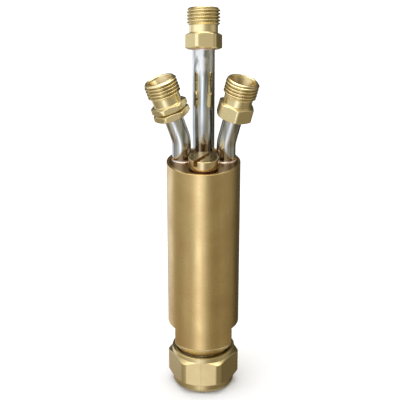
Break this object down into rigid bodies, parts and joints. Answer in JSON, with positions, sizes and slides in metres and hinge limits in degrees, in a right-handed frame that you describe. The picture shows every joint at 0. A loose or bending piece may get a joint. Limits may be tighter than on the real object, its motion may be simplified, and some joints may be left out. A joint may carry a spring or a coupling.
{
  "type": "lampwork torch",
  "caption": "Lampwork torch: a brass barrel with brazed gas tubes, threaded hose inlets on top and a hexagonal nut that holds the burner tip below.",
  "frame": {"origin": "centre of the flat burner face, on the axis of the barrel", "axes": "+Z along the barrel towards the hose inlets, -Y towards the slotted screw, +X towards the oxygen inlet"},
  "size_m": [0.0487, 0.0409, 0.1734],
  "materials": {
    "barrel_brass": "fine-turned, satin",
    "plate_brass": "turned, dull",
    "screw_brass": "turned, satin",
    "nut_brass": "milled, satin",
    "inlet_brass": "machined, semi-bright",
    "copper": "dull",
    "tube_steel": "polished",
    "silver_braze": "as flowed",
    "seal_rubber": "matt"
  },
  "bodies": {
    "barrel": {"barrel": "barrel_brass", "top_plate": "plate_brass", "fuel_tube": "tube_steel", "fuel_inlet": "inlet_brass", "fuel_plate_braze": "silver_braze", "fuel_floor_braze": "silver_braze", "fuel_inlet_braze": "silver_braze", "oxygen_tube": "tube_steel", "oxygen_inlet": "inlet_brass", "oxygen_plate_braze": "silver_braze", "oxygen_floor_braze": "silver_braze", "oxygen_inlet_braze": "silver_braze", "centre_oxygen_tube": "tube_steel", "centre_oxygen_inlet": "inlet_brass", "centre_oxygen_plate_braze": "silver_braze", "centre_oxygen_floor_braze": "silver_braze", "centre_oxygen_inlet_braze": "silver_braze", "inner_seal_ring": "seal_rubber", "middle_seal_ring": "seal_rubber", "outer_seal_ring": "seal_rubber"},
    "tip": {"tip_shell": "nut_brass", "tip_core": "copper"},
    "tip_nut": {"tip_nut": "nut_brass"},
    "screw_washer": {"screw_washer": "copper"},
    "tie_screw": {"tie_screw": "screw_brass"}
  },
  "joints": [
    {"name": "tip_slide", "type": "slide", "parent": "barrel", "child": "tip", "axis": [0, 0, -1], "range_m": [0, 0.0073]},
    {"name": "nut_spin", "type": "hinge", "parent": "tip", "child": "tip_nut", "pos_m": [0, 0, 0.01], "axis": [0, 0, -1], "range_deg": [0, 1440]},
    {"name": "washer_slide", "type": "slide", "parent": "barrel", "child": "screw_washer", "axis": [0, 0, 1], "range_m": [0, 0.0051]},
    {"name": "screw_spin", "type": "hinge", "parent": "screw_washer", "child": "tie_screw", "pos_m": [0, -0.0067, 0.11], "axis": [0, 0, 1], "range_deg": [0, 1440]}
  ],
  "couplings": [
    {"joint": "tip_slide", "follows": "nut_spin", "m_per_rad": 0.00028875},
    {"joint": "washer_slide", "follows": "screw_spin", "m_per_rad": 0.00020213}
  ]
}
